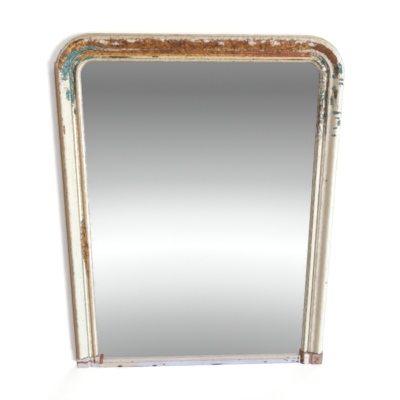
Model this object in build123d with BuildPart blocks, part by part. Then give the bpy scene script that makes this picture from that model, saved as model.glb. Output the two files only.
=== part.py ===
from build123d import *
import os
from math import tan, radians

# A painted wooden wall mirror of the French nineteenth-century kind: a lap-jointed pine carcass,
# a run moulding with quarter-ring top corners, a plain foot rail between two base blocks,
# a looking glass held by glue blocks, a boarded back and two folding ring hangers.
# X runs along the frame, +Y points at the wall and Z is up. The origin is the middle of the
# back's bottom edge. All sizes are in millimetres.

# Overall form
frame_width = 950.0
frame_height = 1195.0
corner_radius = 130.0

# Carcass boards, half-lapped at the corners
board_depth = 22.0
lap_depth = 11.0
stile_width = 75.0
top_rail_width = 75.0
bottom_rail_width = 22.0
peg_radius = 4.0
peg_inset = 12.0
peg_reach = 38.0

# Rebate round the back of the opening, for the back boards
rebate_width = 12.0
rebate_depth = 10.0

# Moulding, from the outer edge to the sight edge; heights stand on the carcass face
ledge = 3.0
listel_width = 4.5
listel_height = 13.0
roll_width = 12.5
ridge_height = 24.0
ogee_width = 31.0
foot_height = 9.0
foot_slope = 0.3
bead_width = 10.0
valley_width = 3.0
valley_height = 7.5
rise_width = 6.0
sight_ridge_width = 5.5
sight_ridge_height = 11.0
step_width = 0.8
step_drop = 1.8
sight_slope_width = 7.7
sight_height = 4.5
roll_lean = 0.25
sight_rise_lean = 0.5

# The left corner piece starts above the springing line, the right one at it
left_joint_angle = 18.4
right_joint_angle = 0.0

# Base blocks and foot rail; the left block stands back almost to the rail
block_height = 44.0
left_block_proud = 12.0
right_block_proud = 24.0
block_nose = 8.0
block_flat = 34.0
block_cove = 9.0
block_valley_drop = 9.0
block_roll_drop = 4.0
block_end_height = 7.0
block_cove_lean = 0.3
block_cove_fall = 0.1
block_roll_lean = 0.15
block_edge = 3.0
left_block_reach = 18.0
right_block_reach = 4.5
left_block_corner = 3.0
right_block_corner = 10.0
rail_height = 30.0
rail_proud = 11.0
rail_round = 5.0

# Looking glass and the glue blocks behind it
glass_thickness = 4.0
glass_gap = 2.0
wedge_width = 12.0
wedge_length = 40.0
wedge_gap = 0.3
side_wedges = 4
end_wedges = 3

# Back boards and their cut nails
back_board_count = 6
back_board_thickness = 8.0
back_board_gap = 1.0
nail_width = 2.0
nail_length = 17.0
nail_head_width = 5.0
nail_head_height = 1.2
nail_head_taper = 30.0
nail_inset = 35.0

# Ring hangers
hanger_drop = 215.0
strap_width = 16.0
strap_length = 44.0
strap_ply = 1.2
ring_wire_radius = 2.0
ring_play = 0.08
ring_standoff = 0.4
ring_half_width = 12.0
ring_bend = 3.0
ring_leg = 6.0
screw_radius = 2.0
screw_head_radius = 4.0
screw_head_taper = 45.0
screw_length = 17.0
screw_slot_width = 1.0
screw_slot_depth = 0.8
first_screw = 13.0
second_screw = 34.0

# Places that follow from the sizes above
half_width = frame_width / 2
spring_x = half_width - corner_radius
spring_z = frame_height - corner_radius
moulding_width = (listel_width + roll_width + ogee_width + bead_width + valley_width
                  + rise_width + sight_ridge_width + step_width + sight_slope_width)
sight_edge = ledge + moulding_width
opening_half = half_width - stile_width
opening_top = frame_height - top_rail_width
rebate_half = opening_half + rebate_width
rebate_bottom = bottom_rail_width - rebate_width
rebate_top = opening_top + rebate_width
glass_back = board_depth - glass_thickness
glass_half = opening_half - glass_gap
glass_top = opening_top - glass_gap
board_face = rebate_depth - back_board_thickness
board_pitch = (rebate_top - rebate_bottom) / back_board_count
nail_x = opening_half + rebate_width / 2
hanger_x = half_width - (stile_width - rebate_width) / 2
hanger_z = frame_height - hanger_drop
strap_thickness = 2 * strap_ply
ring_axis_y = strap_thickness + ring_standoff + ring_wire_radius
bore_radius = ring_wire_radius + ring_play
barrel_radius = bore_radius + strap_ply

sides = {"left": -1, "right": 1}
joint_angle = {"left": left_joint_angle, "right": right_joint_angle}
block_reach = {"left": left_block_reach, "right": right_block_reach}
block_proud = {"left": left_block_proud, "right": right_block_proud}
block_corner = {"left": left_block_corner, "right": right_block_corner}
pieces = {}


def section_plane(edge, station):
    """A plane across one side of the frame: its x runs inwards from the outer edge, its y to the front."""
    if edge == "left":
        return Plane(origin=(-half_width, 0, station), x_dir=(1, 0, 0), z_dir=(0, 0, -1))
    if edge == "right":
        return Plane(origin=(half_width, 0, station), x_dir=(-1, 0, 0), z_dir=(0, 0, 1))
    if edge == "top":
        return Plane(origin=(station, 0, frame_height), x_dir=(0, 0, -1), z_dir=(-1, 0, 0))
    return Plane(origin=(station, 0, 0), x_dir=(0, 0, 1), z_dir=(1, 0, 0))


def back_plane(depth):
    """A plane parallel to the back, so far in from it, facing the wall; its x runs towards -X."""
    return Plane(origin=(0, -depth, 0), x_dir=(-1, 0, 0), z_dir=(0, 1, 0))


def block_between(xs, depths, zs, mode=Mode.ADD):
    """A box between two places along X, two depths from the back and two heights."""
    middle = (sum(xs) / 2, -sum(depths) / 2, sum(zs) / 2)
    with Locations(middle):
        Box(abs(xs[1] - xs[0]), abs(depths[1] - depths[0]), abs(zs[1] - zs[0]), mode=mode)


def cut_to_outline():
    """Saws what is in the builder to the frame's outline, rounded at the top corners."""
    with BuildSketch(Plane.XZ) as outline:
        with Locations((0, frame_height / 2)):
            Rectangle(frame_width, frame_height)
        fillet(outline.vertices().group_by(Axis.Y)[-1], corner_radius)
    extrude(outline.sketch, amount=board_depth, mode=Mode.INTERSECT)


def peg_points(sign):
    """The four pegs on one side of the frame: two through each lap."""
    lap_x = sign * opening_half
    return [
        (lap_x + sign * peg_inset, opening_top + peg_reach),
        (lap_x + sign * peg_reach, opening_top + peg_inset),
        (lap_x + sign * (peg_inset + 2 * peg_radius), bottom_rail_width / 2),
        (lap_x + sign * (stile_width - peg_inset), bottom_rail_width / 2),
    ]


def cut_pegs(signs):
    """Bores the peg holes through the carcass boards."""
    with BuildSketch(Plane.XZ) as holes:
        for sign in signs:
            with Locations(*peg_points(sign)):
                Circle(peg_radius)
    extrude(holes.sketch, amount=board_depth, mode=Mode.SUBTRACT)


def cut_rebate():
    """Ploughs the rebate for the back boards."""
    block_between((-rebate_half, rebate_half), (0, rebate_depth), (rebate_bottom, rebate_top), Mode.SUBTRACT)


def nail_points(index):
    """Two nails at each end of one back board, as places along X and up Z."""
    low = rebate_bottom + index * board_pitch
    heights = (low + nail_inset, low + board_pitch - nail_inset)
    return [(x, z) for x in (-nail_x, nail_x) for z in heights]


def draw_moulding_section():
    """The run moulding: listel, roll, ogee, bead, valley, sight ridge and slope to the glass."""
    face = board_depth
    outer = ledge
    roll_start = outer + listel_width
    ridge = roll_start + roll_width
    foot = ridge + ogee_width
    bead_end = foot + bead_width
    valley_end = bead_end + valley_width
    rise_end = valley_end + rise_width
    step = rise_end + sight_ridge_width
    slope = step + step_width
    ridge_top = face + ridge_height
    foot_top = face + foot_height
    valley = face + valley_height
    sight_ridge = face + sight_ridge_height
    with BuildLine() as section:
        Polyline((sight_edge, face + sight_height), (sight_edge, face), (outer, face),
                 (outer, face + listel_height), (roll_start, face + listel_height))
        Spline((roll_start, face + listel_height), (ridge, ridge_top), tangents=[(roll_lean, 1), (1, 0)])
        Spline((ridge, ridge_top), (foot, foot_top), tangents=[(1, 0), (1, -foot_slope)])
        crown = (foot + bead_width / 2, foot_top + bead_width / 2)
        ThreePointArc((foot, foot_top), crown, (bead_end, foot_top))
        Polyline((bead_end, foot_top), (bead_end, valley), (valley_end, valley))
        Spline((valley_end, valley), (rise_end, sight_ridge), tangents=[(sight_rise_lean, 1), (1, 0)])
        Polyline((rise_end, sight_ridge), (step, sight_ridge), (slope, sight_ridge - step_drop),
                 (sight_edge, face + sight_height))
    make_face(section.edges())


def draw_block_section(end, proud):
    """A base block's front: rounded nose, flat, cove down to a valley, then a low roll to its end."""
    face = board_depth
    front = face + proud
    valley = front - block_valley_drop
    nose_end = ledge + block_nose
    flat_end = nose_end + block_flat
    valley_start = flat_end + block_cove
    crown = (valley_start + end) / 2
    with BuildLine() as section:
        Polyline((end, face + block_end_height), (end, face), (ledge, face), (ledge, front - block_nose))
        Spline((ledge, front - block_nose), (nose_end, front), tangents=[(0, 1), (1, 0)])
        Line((nose_end, front), (flat_end, front))
        Spline((flat_end, front), (valley_start, valley),
               tangents=[(block_cove_lean, -1), (1, -block_cove_fall)])
        Spline((valley_start, valley), (crown, front - block_roll_drop), (end, face + block_end_height),
               tangents=[(block_cove_lean, 1), (block_roll_lean, -1)])
    make_face(section.edges())


# Carcass stiles: the front half of each lap, the rebate, peg holes, nail holes and screw holes
for side, sign in sides.items():
    with BuildPart() as stile:
        edges = (sign * half_width, sign * opening_half)
        block_between(edges, (0, board_depth), (0, frame_height))
        block_between(edges, (0, lap_depth), (0, bottom_rail_width), Mode.SUBTRACT)
        block_between(edges, (0, lap_depth), (opening_top, frame_height), Mode.SUBTRACT)
        cut_to_outline()
        cut_rebate()
        cut_pegs([sign])
        with BuildSketch(back_plane(board_face)):
            for index in range(back_board_count):
                with Locations(*nail_points(index)):
                    Rectangle(nail_width, nail_width)
        extrude(amount=-nail_length, mode=Mode.SUBTRACT)
        with BuildSketch(back_plane(0)):
            with Locations(*[(-sign * hanger_x, hanger_z - drop) for drop in (first_screw, second_screw)]):
                Circle(screw_radius)
        extrude(amount=strap_thickness - screw_length, mode=Mode.SUBTRACT)
    pieces[f"carcass_{side}_stile"] = stile.part

# Carcass rails: the back half of each lap runs right across, the front half fits between the stiles
with BuildPart() as top_rail:
    block_between((-half_width, half_width), (0, lap_depth), (opening_top, frame_height))
    block_between((-opening_half, opening_half), (lap_depth, board_depth), (opening_top, frame_height))
    cut_to_outline()
    cut_rebate()
    cut_pegs(sides.values())
pieces["carcass_top_rail"] = top_rail.part

with BuildPart() as bottom_rail:
    block_between((-half_width, half_width), (0, lap_depth), (0, bottom_rail_width))
    block_between((-opening_half, opening_half), (lap_depth, board_depth), (0, bottom_rail_width))
    cut_rebate()
    cut_pegs(sides.values())
pieces["carcass_bottom_rail"] = bottom_rail.part

with BuildPart() as pegs:
    with BuildSketch(Plane.XZ):
        for sign in sides.values():
            with Locations(*peg_points(sign)):
                Circle(peg_radius)
    extrude(amount=board_depth)
pieces["carcass_pegs"] = pegs.part

# Mouldings: two uprights cut off on the radius of the corner, a top length and two quarter rings
for side, sign in sides.items():
    angle = joint_angle[side]
    centre = (sign * spring_x, 0, spring_z)
    rise = corner_radius * tan(radians(angle))
    with BuildPart() as upright:
        if side == "left":
            with BuildSketch(section_plane(side, spring_z + rise)):
                draw_moulding_section()
        else:
            with BuildSketch(section_plane(side, block_height)):
                draw_moulding_section()
        extrude(amount=spring_z + rise - block_height)
        if angle > 0:
            cut = Plane(origin=centre, z_dir=(-sign * tan(radians(angle)), 0, 1))
            split(bisect_by=cut, keep=Keep.BOTTOM)
    pieces[f"moulding_{side}"] = upright.part

    with BuildPart() as corner:
        with BuildSketch(section_plane("top", sign * spring_x)):
            draw_moulding_section()
        revolve(axis=Axis(centre, (0, sign, 0)), revolution_arc=90 - angle)
    pieces[f"moulding_corner_{side}"] = corner.part

with BuildPart() as top_moulding:
    with BuildSketch(section_plane("top", spring_x)):
        draw_moulding_section()
    extrude(amount=2 * spring_x)
pieces["moulding_top"] = top_moulding.part

# Base blocks: the moulded front, its outer bottom corner rounded off and its long edges eased
for side, sign in sides.items():
    end = sight_edge + block_reach[side]
    thickness = board_depth + block_proud[side]
    with BuildPart() as base_block:
        with BuildSketch(section_plane(side, block_height if side == "left" else 0)):
            draw_block_section(end, block_proud[side])
        extrude(amount=block_height)
        with BuildSketch(Plane.XZ) as front_view:
            with Locations((sign * (half_width - (ledge + end) / 2), block_height / 2)):
                Rectangle(end - ledge, block_height)
            low_outer = front_view.vertices().group_by(Axis.Y)[0].sort_by(Axis.X)[0 if sign < 0 else -1]
            fillet(low_outer, block_corner[side])
        extrude(amount=thickness, mode=Mode.INTERSECT)
        with BuildSketch(section_plane("bottom", -half_width)) as end_view:
            with Locations((block_height / 2, thickness / 2)):
                Rectangle(block_height, thickness)
            fillet(end_view.vertices().group_by(Axis.Y)[-1], block_edge)
        extrude(amount=frame_width, mode=Mode.INTERSECT)
    pieces[f"base_block_{side}"] = base_block.part

with BuildPart() as foot_rail:
    rail_start = -half_width + sight_edge + left_block_reach
    rail_end = half_width - sight_edge - right_block_reach
    with BuildSketch(section_plane("bottom", rail_start)) as rail_section:
        with Locations((rail_height / 2, board_depth + rail_proud / 2)):
            Rectangle(rail_height, rail_proud)
        fillet(rail_section.vertices().group_by(Axis.Y)[-1].sort_by(Axis.X)[-1], rail_round)
    extrude(amount=rail_end - rail_start)
pieces["foot_rail"] = foot_rail.part

# Looking glass: it stands on the bottom rail, against the back of the moulding's lip
with BuildPart() as glass:
    block_between((-glass_half, glass_half), (glass_back, board_depth), (bottom_rail_width, glass_top))
pieces["mirror_glass"] = glass.part


def wedge_run(edge, inner, low, high, count):
    """Glue blocks of triangular section in the corner between the carcass edge and the glass."""
    pitch = (high - low) / count
    for index in range(count):
        with BuildSketch(section_plane(edge, low + (index + 0.5) * pitch)) as section:
            with BuildLine():
                Polyline((inner, rebate_depth + wedge_gap), (inner, glass_back),
                         (inner + wedge_width, glass_back), close=True)
            make_face()
        extrude(section.sketch, amount=wedge_length / 2, both=True)


with BuildPart() as wedges:
    wedge_run("left", stile_width, bottom_rail_width, glass_top, side_wedges)
    wedge_run("right", stile_width, bottom_rail_width, glass_top, side_wedges)
    wedge_run("top", top_rail_width, -glass_half, glass_half, end_wedges)
    wedge_run("bottom", bottom_rail_width, -glass_half, glass_half, end_wedges)
pieces["glass_wedges"] = wedges.part

# Back boards lie across the rebate, the lowest on its floor, each with two nails at each end
for index in range(back_board_count):
    low = rebate_bottom + index * board_pitch
    with BuildPart() as back_board:
        block_between((back_board_gap - rebate_half, rebate_half - back_board_gap),
                      (board_face, rebate_depth), (low, low + board_pitch - back_board_gap))
        with BuildSketch(back_plane(board_face)):
            with Locations(*nail_points(index)):
                Rectangle(nail_width, nail_width)
        extrude(amount=-back_board_thickness, mode=Mode.SUBTRACT)
    pieces[f"back_board_{index + 1}"] = back_board.part

with BuildPart() as nails:
    for index in range(back_board_count):
        with BuildSketch(back_plane(board_face)):
            with Locations(*nail_points(index)):
                Rectangle(nail_width, nail_width)
        extrude(amount=-nail_length)
        with BuildSketch(back_plane(board_face)):
            with Locations(*nail_points(index)):
                Rectangle(nail_head_width, nail_head_width)
        extrude(amount=nail_head_height, taper=nail_head_taper)
pieces["back_board_nails"] = nails.part

# Ring hangers on the stiles: a strap folded round the ring's bar, a bent wire ring and two screws
for side, sign in sides.items():
    with BuildPart() as strap:
        hinge = Plane(origin=(sign * hanger_x, 0, hanger_z), x_dir=(0, 1, 0), z_dir=(1, 0, 0))
        with BuildSketch(hinge):
            with Locations((strap_thickness / 2, -strap_length / 2)):
                Rectangle(strap_thickness, strap_length)
            with Locations((ring_axis_y / 2, -barrel_radius / 2)):
                Rectangle(ring_axis_y, barrel_radius)
            with Locations((ring_axis_y, 0)):
                Circle(barrel_radius)
                Circle(bore_radius, mode=Mode.SUBTRACT)
        extrude(amount=strap_width / 2, both=True)
        tip = strap_width / 2 - strap_length
        with BuildSketch(Plane(origin=(sign * hanger_x, 0, hanger_z), x_dir=(1, 0, 0), z_dir=(0, -1, 0))):
            with Locations((0, (tip + barrel_radius) / 2)):
                Rectangle(strap_width, barrel_radius - tip)
            with Locations((0, tip)):
                Circle(strap_width / 2)
        extrude(amount=-ring_axis_y - barrel_radius, mode=Mode.INTERSECT)
        strap_face = (sign * hanger_x, strap_thickness, hanger_z)
        with Locations(Plane(origin=strap_face, x_dir=(-1, 0, 0), z_dir=(0, 1, 0))):
            with Locations((0, -first_screw), (0, -second_screw)):
                CounterSinkHole(screw_radius, screw_head_radius, counter_sink_angle=2 * screw_head_taper)
    pieces[f"hanger_strap_{side}"] = strap.part

    with BuildPart() as ring:
        hang = Plane(origin=(sign * hanger_x, ring_axis_y, hanger_z), x_dir=(1, 0, 0), z_dir=(0, -1, 0))
        with BuildLine(hang) as wire:
            bar = Line((ring_bend - ring_half_width, 0), (ring_half_width - ring_bend, 0))
            turn = JernArc(bar @ 1, bar % 1, ring_bend, -90)
            leg = Line(turn @ 1, hang.from_local_coords(Vector(ring_half_width, -ring_leg)))
            bow = JernArc(leg @ 1, leg % 1, ring_half_width, -180)
            back_leg = Line(bow @ 1, hang.from_local_coords(Vector(-ring_half_width, -ring_bend)))
            JernArc(back_leg @ 1, back_leg % 1, ring_bend, -90)
        with BuildSketch(Plane(origin=wire.line @ 0, z_dir=wire.line % 0)):
            Circle(ring_wire_radius)
        sweep()
    pieces[f"hanger_ring_{side}"] = ring.part

    with BuildPart() as screws:
        head_height = screw_head_radius - screw_radius
        for drop in (first_screw, second_screw):
            top = Plane(origin=(sign * hanger_x, strap_thickness, hanger_z - drop), z_dir=(0, -1, 0))
            with BuildSketch(top):
                Circle(screw_head_radius)
            extrude(amount=head_height, taper=screw_head_taper)
            with BuildSketch(top):
                Circle(screw_radius)
            extrude(amount=screw_length)
            with Locations((sign * hanger_x, strap_thickness - screw_slot_depth / 2, hanger_z - drop)):
                Box(2 * screw_head_radius, screw_slot_depth, screw_slot_width, mode=Mode.SUBTRACT)
    pieces[f"hanger_screws_{side}"] = screws.part

os.makedirs("parts", exist_ok=True)
for name, piece in pieces.items():
    piece.label = name
    export_step(piece, f"parts/{name}.step")
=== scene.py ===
# %% [markdown]
# # A painted wooden wall mirror
# This lesson dresses a finished CAD model of an old French wall mirror: a moulded frame with
# rounded top corners, cream paint worn through to older coats, and a tall looking glass.
# The CAD model gives every board its place. What is added here is what a camera sees: paint,
# wear, grain, rust and light. The first cell loads the model and notes its size.

# %% Load the CAD model
from math import atan2, ceil, hypot, pi, radians, tan
import bpy
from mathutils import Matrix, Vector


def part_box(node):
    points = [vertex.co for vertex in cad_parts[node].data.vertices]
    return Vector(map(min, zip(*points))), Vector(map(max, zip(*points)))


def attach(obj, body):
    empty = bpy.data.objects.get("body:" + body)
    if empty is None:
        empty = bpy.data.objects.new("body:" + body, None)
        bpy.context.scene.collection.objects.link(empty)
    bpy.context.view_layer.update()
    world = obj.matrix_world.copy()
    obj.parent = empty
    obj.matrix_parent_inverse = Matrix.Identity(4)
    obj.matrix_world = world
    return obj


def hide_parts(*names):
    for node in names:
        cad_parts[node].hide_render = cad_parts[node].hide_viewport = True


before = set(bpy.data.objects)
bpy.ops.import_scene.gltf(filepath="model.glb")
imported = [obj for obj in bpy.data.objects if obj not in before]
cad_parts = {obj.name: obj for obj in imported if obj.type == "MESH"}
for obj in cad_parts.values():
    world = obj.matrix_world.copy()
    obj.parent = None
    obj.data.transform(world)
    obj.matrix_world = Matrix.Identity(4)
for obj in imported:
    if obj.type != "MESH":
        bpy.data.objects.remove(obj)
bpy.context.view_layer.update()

# %% [markdown]
# ## The camera
# The photograph was taken from a little above the middle of the mirror, looking slightly
# down, so the sides lean together towards the foot. The lens and the place of the camera were
# worked out from the four straight edges of the frame. A lens of 35 mm on a square picture
# gives that lean; a longer lens from further off would make the sides look parallel.

# %% Set up the camera
camera_place = (-0.0588, -1.3467, 0.9544)
camera_turn = (77.117, -0.119, -2.329)
focal_length = 34.9

bpy.ops.object.camera_add(location=camera_place, rotation=[radians(turn) for turn in camera_turn])
camera = bpy.context.object
camera.name = "camera"
camera.data.lens = focal_length
camera.data.sensor_width = 36.0
bpy.context.scene.camera = camera
bpy.context.scene.view_settings.view_transform = "Standard"
print("camera at", tuple(camera.location))

# %% [markdown]
# ## Sums inside a material
# A worn finish is built from masks, and masks are sums: how far in from the edge, how high up,
# how noisy. Wiring Math nodes one by one hides the idea. A small class that stands for a
# node's output, and adds a Math node for each plus or times, lets a mask be written as it is
# thought. One more method makes any other node from its type, settings and inputs.

# %% A value that does sums, and a finish that holds its nodes
noise_low, noise_high = 0.32, 0.68


class Value:
    """What comes out of a node; sums on it add Math nodes."""

    def __init__(self, finish, socket):
        self.finish = finish
        self.socket = socket

    def __add__(self, other):
        return self.finish.math("ADD", self, other)

    def __sub__(self, other):
        return self.finish.math("SUBTRACT", self, other)

    def __rsub__(self, other):
        return self.finish.math("SUBTRACT", other, self)

    def __mul__(self, other):
        return self.finish.math("MULTIPLY", self, other)

    def __truediv__(self, other):
        return self.finish.math("DIVIDE", self, other)

    __radd__ = __add__
    __rmul__ = __mul__


class Finish:
    """One material and the nodes in it."""

    def __init__(self, name, material=None):
        self.material = material or bpy.data.materials.new(name)
        self.material.use_nodes = True
        self.tree = self.material.node_tree
        self.tree.nodes.clear()

    def node(self, kind, settings=None, inputs=None, outlet=0):
        """Adds any node: its settings first, then the values or links of its sockets."""
        made = self.tree.nodes.new(kind)
        for key, value in (settings or {}).items():
            if key == "stops":
                stops = made.color_ramp.elements
                while len(stops) < len(value):
                    stops.new(0.5)
                for stop, (place, colour) in zip(stops, value):
                    stop.position = place
                    stop.color = colour
            else:
                setattr(made, key, value)
        for key, value in (inputs or {}).items():
            if isinstance(value, Value):
                self.tree.links.new(value.socket, made.inputs[key])
            else:
                made.inputs[key].default_value = value
        return Value(self, made.outputs[outlet])

    def math(self, operation, *values):
        return self.node("ShaderNodeMath", {"operation": operation}, dict(enumerate(values)))

    def step(self, value, low, high):
        """0 below low, 1 above high and a soft rise between."""
        return self.node("ShaderNodeMapRange", {"interpolation_type": "SMOOTHSTEP"},
                         {0: value, 1: low, 2: high})

    def band(self, value, start, end, soft):
        """1 from start to end, with soft edges."""
        return self.step(value, start - soft, start + soft) * (1 - self.step(value, end - soft, end + soft))

    def fall(self, value, low, high):
        """1 below low, 0 above high and a soft fall between."""
        return 1 - self.step(value, low, high)

    def noise(self, place, scale, detail, rough):
        return self.node("ShaderNodeTexNoise", {},
                         {"Vector": place, "Scale": scale, "Detail": detail, "Roughness": rough})

    def mottle(self, place, scale, detail, rough):
        """Noise keeps near its middle; this stretches it to fill 0 to 1."""
        return self.node("ShaderNodeMapRange", {},
                         {0: self.noise(place, scale, detail, rough), 1: noise_low, 2: noise_high})

    def lay(self, mask, under, over):
        """Lays one colour over another where the mask is 1."""
        return self.node("ShaderNodeMix", {"data_type": "RGBA"}, {0: mask, 6: under, 7: over}, 2)

    def vector(self, x, y, z):
        return self.node("ShaderNodeCombineXYZ", {}, {0: x, 1: y, 2: z})

    def place(self):
        return self.node("ShaderNodeTexCoord", {}, {}, "Object")

    def axes(self, place):
        """The three numbers of a place."""
        return [self.node("ShaderNodeSeparateXYZ", {}, {0: place}, outlet) for outlet in range(3)]

    def surface(self, colour, roughness, bumps=(), **constants):
        """A Principled surface; each bump is a height in metres and its strength."""
        inputs = {"Base Color": colour, "Roughness": roughness}
        normal = None
        for height, strength in bumps:
            bump_inputs = {"Height": height, "Strength": strength, "Distance": 1.0}
            if normal:
                bump_inputs["Normal"] = normal
            normal = self.node("ShaderNodeBump", {}, bump_inputs)
        if normal:
            inputs["Normal"] = normal
        for name, value in constants.items():
            inputs[name.replace("_", " ")] = value
        shader = self.node("ShaderNodeBsdfPrincipled", {}, inputs)
        self.node_output(shader)
        return self.material

    def node_output(self, shader):
        output = self.tree.nodes.new("ShaderNodeOutputMaterial")
        self.tree.links.new(shader.socket, output.inputs["Surface"])


def tint(red, green, blue):
    """A colour as a paint card gives it, 0 to 255, turned into the light it sends back."""
    def channel(value):
        share = value / 255
        return share / 12.92 if share <= 0.04045 else ((share + 0.055) / 1.055) ** 2.4
    return (channel(red), channel(green), channel(blue), 1.0)


print("cream paint sends back", [round(part, 2) for part in tint(240, 235, 220)[:3]])

# %% [markdown]
# ## Light
# The photograph has soft daylight from low on the right: a thin shadow lies on the wall all
# down the left side and round the top left corner. A shadow climbs only when its light comes
# from below, so the main sun is tipped a little past level, and the floor lets its light by.
# A second sun from above draws the shadow on the floor, and an even white sky fills the rest.

# %% Hang the lights
def add_sun(name, strength, direction, spread):
    bpy.ops.object.light_add(type="SUN", rotation=[radians(turn) for turn in direction])
    lamp = bpy.context.object
    lamp.name = name
    lamp.data.energy = strength
    lamp.data.angle = radians(spread)
    return lamp


window_light = add_sun("window_light", 1.6, (98, 0, 36), 12)
upper_light = add_sun("upper_light", 0.75, (64, 0, 30), 20)
back_light = add_sun("back_light", 1.2, (-60, 0, -30), 40)
print("lamps:", window_light.data.energy, upper_light.data.energy, back_light.data.energy)

# %% [markdown]
# ## The room that the glass shows
# The glass shows a room that fades from grey to white to grey, so what glossy rays see of the
# sky follows the height they look at. The list holds pairs of height, in degrees above level,
# and grey. The glass sends back a little less than it gets, so the room is made brighter by
# as much. The camera itself sees plain white.

# %% Build the room
sky_strength = 0.36
glass_reflectance = 0.885
room_greys = [(-90, 120), (-50, 140), (-34.3, 163), (-30, 191), (-25, 231), (-19.5, 255), (-15, 238),
              (-10, 196), (-5, 169), (0, 139), (3.1, 123), (5.6, 134), (7.2, 141), (14, 150), (30, 190),
              (90, 225)]

world = bpy.data.worlds.new("room")
bpy.context.scene.world = world
room = Finish("room", world)
looking = room.node("ShaderNodeTexCoord", {}, {}, "Generated")
height = room.axes(looking)[2]
elevation = room.math("ARCSINE", height) * (180 / pi)
stops = [((angle + 90) / 180, tint(grey, grey, grey)) for angle, grey in room_greys]
reflected = room.node("ShaderNodeValToRGB", {"stops": stops}, {0: (elevation + 90) / 180})
camera_ray = room.node("ShaderNodeLightPath", {}, {}, "Is Camera Ray")
glossy_ray = room.node("ShaderNodeLightPath", {}, {}, "Is Glossy Ray")
sky = room.lay(glossy_ray, (sky_strength, sky_strength, sky_strength, 1), reflected)
sky = room.lay(camera_ray, sky, (1, 1, 1, 1))
strength = 1 + glossy_ray * (1 / glass_reflectance - 1)
background = room.node("ShaderNodeBackground", {}, {0: sky, 1: strength})
world_output = room.tree.nodes.new("ShaderNodeOutputWorld")
room.tree.links.new(background.socket, world_output.inputs["Surface"])
print("sky stops:", len(stops))

# %% [markdown]
# ## Floor and wall
# The mirror stands on a white floor with a white wall close behind it. Both are only there to
# catch the shadow. They glow a little for the camera, so they read as paper white where the
# light reaches them, and the shadow stays. The wall is clear from behind, because the back
# of the mirror is looked at too.

# %% Lay the floor and put up the wall
def stage_finish(name, white, lift, see_through):
    """Matt white that glows a little for the camera, and can be clear from behind."""
    finish = Finish(name)
    matt = finish.node("ShaderNodeBsdfDiffuse", {}, {"Color": (white, white, white, 1)})
    glow = finish.node("ShaderNodeEmission", {}, {"Color": (1, 1, 1, 1), "Strength": lift})
    lit = finish.node("ShaderNodeAddShader", {}, {0: matt, 1: glow})
    camera_ray = finish.node("ShaderNodeLightPath", {}, {}, "Is Camera Ray")
    shown = finish.node("ShaderNodeMixShader", {}, {0: camera_ray, 1: matt, 2: lit})
    if see_through:
        behind = finish.node("ShaderNodeNewGeometry", {}, {}, "Backfacing")
        clear = finish.node("ShaderNodeBsdfTransparent")
        shown = finish.node("ShaderNodeMixShader", {}, {0: behind, 1: shown, 2: clear})
    finish.node_output(shown)
    return finish.material


def select_none():
    bpy.ops.object.select_all(action="DESELECT")


def stage_plane(name, place, turn, material):
    """A big square that catches shadows, casts none, and stays out of the glass."""
    select_none()
    bpy.ops.mesh.primitive_plane_add(size=stage_size, location=place, rotation=turn)
    plane = bpy.context.object
    plane.name = name
    plane.data.materials.append(material)
    plane.visible_glossy = False
    plane.visible_shadow = False
    return plane


stage_size = 14
wall_place = (0, 0.0095, 6.99)

floor = stage_plane("floor", (0, 0, 0), (0, 0, 0), stage_finish("floor_white", 0.8, 0.55, False))

wall = stage_plane("wall", wall_place, (radians(90), 0, 0), stage_finish("wall_white", 0.93, 0.12, True))
wall.visible_diffuse = False
print("wall stands", round(wall.location.y * 1000, 1), "mm behind the back")

# %% [markdown]
# ## Where on the frame is this?
# Paint wears by its place on the moulding: crests rub bare, hollows keep their dirt. So the
# paint needs to know how far in from the outer edge each point lies, and how far along the
# frame. The outline is a rectangle with two rounded corners, and the distance to it is a
# short sum that holds on the straights and round the corners alike.

# %% Measure along and across the frame, in millimetres
half_width = 475.0
frame_height = 1195.0
corner_radius = 130.0
spring_x = half_width - corner_radius
spring_z = frame_height - corner_radius


class Spot:
    """The useful numbers of a place: millimetres to the right and up, and which half it is in."""

    def __init__(self, finish):
        self.finish = finish
        self.place = finish.place()
        x, y, z = finish.axes(self.place)
        self.x, self.depth, self.z = x * 1000, y * -1000, z * 1000
        self.side = finish.math("SIGN", x)
        self.left = finish.step(self.side, 0.1, -0.1)


print("moulding runs round a corner of", corner_radius, "mm")

# %% [markdown]
# ## Patches of the older coats
# The frame has been painted many times: brown bole and gold along the top, turquoise at the
# corners, and cream over most of it, rubbed at the crests and darker in the hollows, partly dirt
# and partly painted shade. Where a coat shows is kept as a list of ovals that lie along the moulding.

# %% Where each coat shows: side, middle along and across the frame, half sizes, in millimetres
L, R = -1, 1
turquoise_places = [(L, 1088, 38, 40, 10), (L, 1125, 40, 60, 8), (L, 1170, 43, 60, 5), (L, 1255, 45, 55, 4),
                    (L, 1006, 43, 17, 7), (L, 1090, 56, 112, 6), (L, 1005, 57, 36, 6), (L, 953, 61, 12, 3),
                    (L, 1060, 52, 30, 3), (L, 1230, 73, 72, 4), (L, 1165, 60, 22, 5), (R, 1088, 22, 13, 7),
                    (R, 1056, 18, 4, 9), (R, 1112, 22, 9, 6), (R, 1067, 42, 12, 4), (R, 1030, 41, 8, 3),
                    (R, 992, 42, 18, 5), (R, 1164, 63, 20, 6), (R, 1098, 64, 9, 5), (R, 1004, 64, 18, 7),
                    (R, 940, 64, 9, 6), (R, 1043, 20, 4, 11), (R, 950, 24, 6, 15), (R, 934, 24, 4, 11),
                    (R, 916, 15, 12, 7), (R, 900, 26, 4, 8), (R, 875, 28, 4, 8), (R, 342, 15, 5, 4),
                    (L, 578, 60, 5, 4)]
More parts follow.
